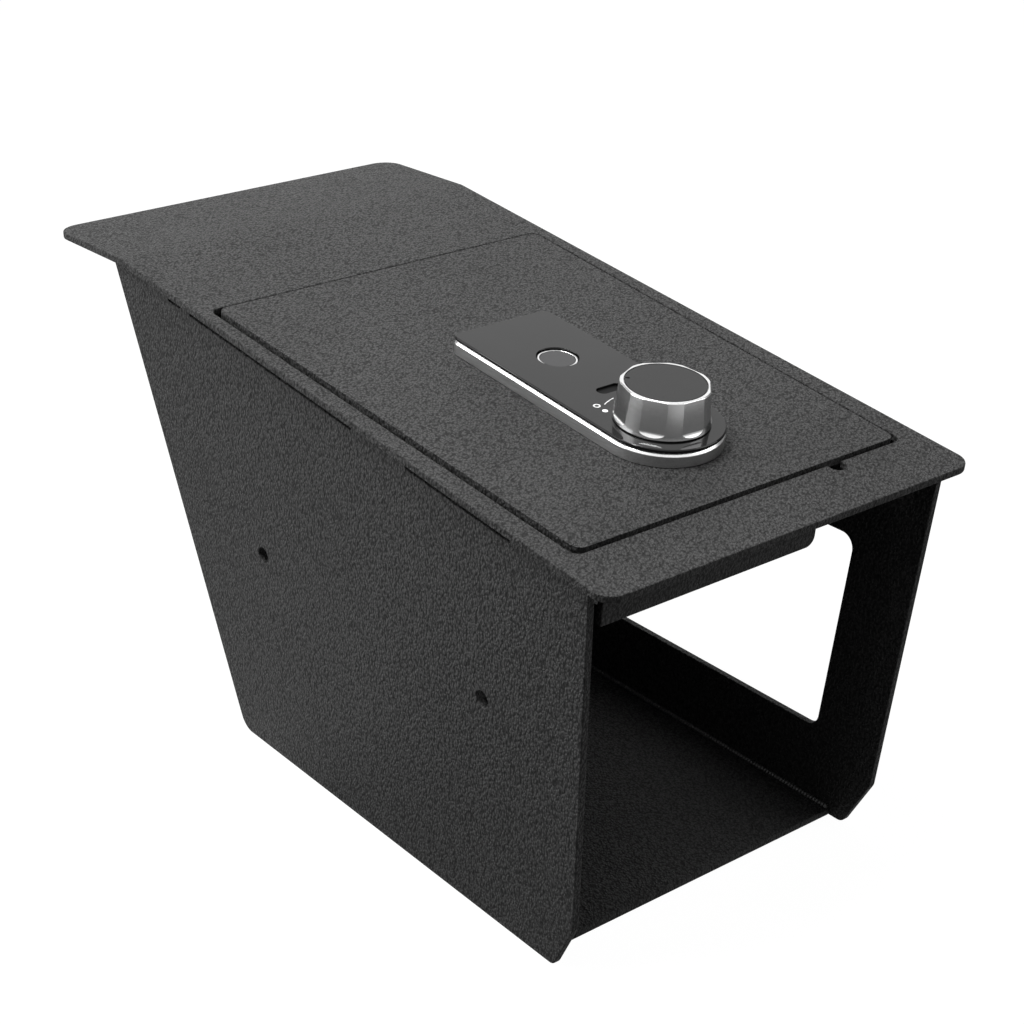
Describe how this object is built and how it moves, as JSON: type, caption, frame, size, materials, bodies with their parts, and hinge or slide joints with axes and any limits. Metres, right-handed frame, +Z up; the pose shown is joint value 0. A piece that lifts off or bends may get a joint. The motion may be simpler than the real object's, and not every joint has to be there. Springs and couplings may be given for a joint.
{
  "type": "console insert cash box",
  "caption": "Black steel cash box insert with a sloping face plate, an open front end and a hinged lid that carries a fingerprint and knob lock.",
  "frame": {"origin": "centre of the footprint on the plane the floor plate stands on", "axes": "+X to the right seen from the open front end, +Y from the front end to the rear flap, +Z up"},
  "size_m": [0.18, 0.3712, 0.2043],
  "materials": {
    "powder_black": "fine-textured black powder coat",
    "weld_black": "powder-coated weld bead",
    "pin_steel": "bright drawn steel",
    "plated_steel": "zinc-plated steel",
    "chrome_trim": "satin chrome",
    "chrome_bright": "polished chrome",
    "gloss_black": "high-gloss black",
    "smoke_lens": "smoked lens",
    "sensor_glass": "dark coated glass",
    "moulded_black": "fine-grained black",
    "cap_black": "satin black with a soft sheen",
    "lock_brass": "turned brass",
    "bush_brass": "sintered bronze",
    "rubber_black": "matt rubber",
    "board_green": "solder-masked glass fibre",
    "cell_wrap": "plain cell wrapper",
    "coil_tape": "taped coil in a steel frame"
  },
  "bodies": {
    "base": {"frame_plate": "powder_black", "left_wall": "powder_black", "right_wall": "powder_black", "floor_plate": "powder_black", "rear_wall": "powder_black", "front_stiffener": "powder_black", "floor_welds": "weld_black", "hinge_brackets": "powder_black", "hinge_pin": "pin_steel", "lid_rests": "powder_black", "rest_pads": "rubber_black"},
    "lid": {"lid_plate": "powder_black", "hinge_leaves": "powder_black", "lock_bezel": "chrome_trim", "lock_base": "moulded_black", "lock_face": "gloss_black", "sensor_ring": "chrome_bright", "sensor_pad": "sensor_glass", "status_lens": "smoke_lens", "panel_bolts": "plated_steel", "bolt_guides": "plated_steel", "lock_cover": "powder_black", "cover_screws": "plated_steel", "circuit_board": "board_green", "board_standoffs": "lock_brass", "solenoid_body": "coil_tape", "plunger_spring": "pin_steel", "battery_tray": "moulded_black", "battery_cells": "cell_wrap", "door_pin": "pin_steel", "spindle_bush": "bush_brass"},
    "knob": {"knob": "chrome_bright", "knob_spindle": "pin_steel", "drive_cam": "plated_steel", "key_cylinder": "lock_brass"},
    "cap": {"knob_cap": "cap_black"},
    "key": {"key_plug": "lock_brass"},
    "bolt": {"lock_bolt": "plated_steel"},
    "plunger": {"solenoid_plunger": "pin_steel"},
    "door": {"battery_door": "moulded_black"}
  },
  "joints": [
    {"name": "lid_hinge", "type": "hinge", "parent": "base", "child": "lid", "pos_m": [0, 0.03973, 0.18945], "axis": [-1, 0, 0], "range_deg": [0, 100]},
    {"name": "knob_turn", "type": "hinge", "parent": "lid", "child": "knob", "pos_m": [0, -0.1119, 0.18749], "axis": [0, 0.1045, -0.9945], "range_deg": [0, 90]},
    {"name": "bolt_slide", "type": "slide", "parent": "lid", "child": "bolt", "axis": [0, -0.9945, -0.1045], "range_m": [0, 0.01273]},
    {"name": "cap_pull", "type": "slide", "parent": "knob", "child": "cap", "axis": [0, -0.1045, 0.9945], "range_m": [0, 0.012]},
    {"name": "key_turn", "type": "hinge", "parent": "knob", "child": "key", "pos_m": [0, -0.11321, 0.20003], "axis": [0, 0.1045, -0.9945], "range_deg": [0, 90]},
    {"name": "plunger_slide", "type": "slide", "parent": "lid", "child": "plunger", "axis": [1, 0, 0], "range_m": [0, 0.003]},
    {"name": "battery_door_hinge", "type": "hinge", "parent": "lid", "child": "door", "pos_m": [0, -0.03871, 0.16749], "axis": [-1, 0, 0], "range_deg": [0, 100]}
  ],
  "couplings": [
    {"joint": "knob_turn", "follows": "bolt_slide", "rad_per_m": 123.41}
  ]
}
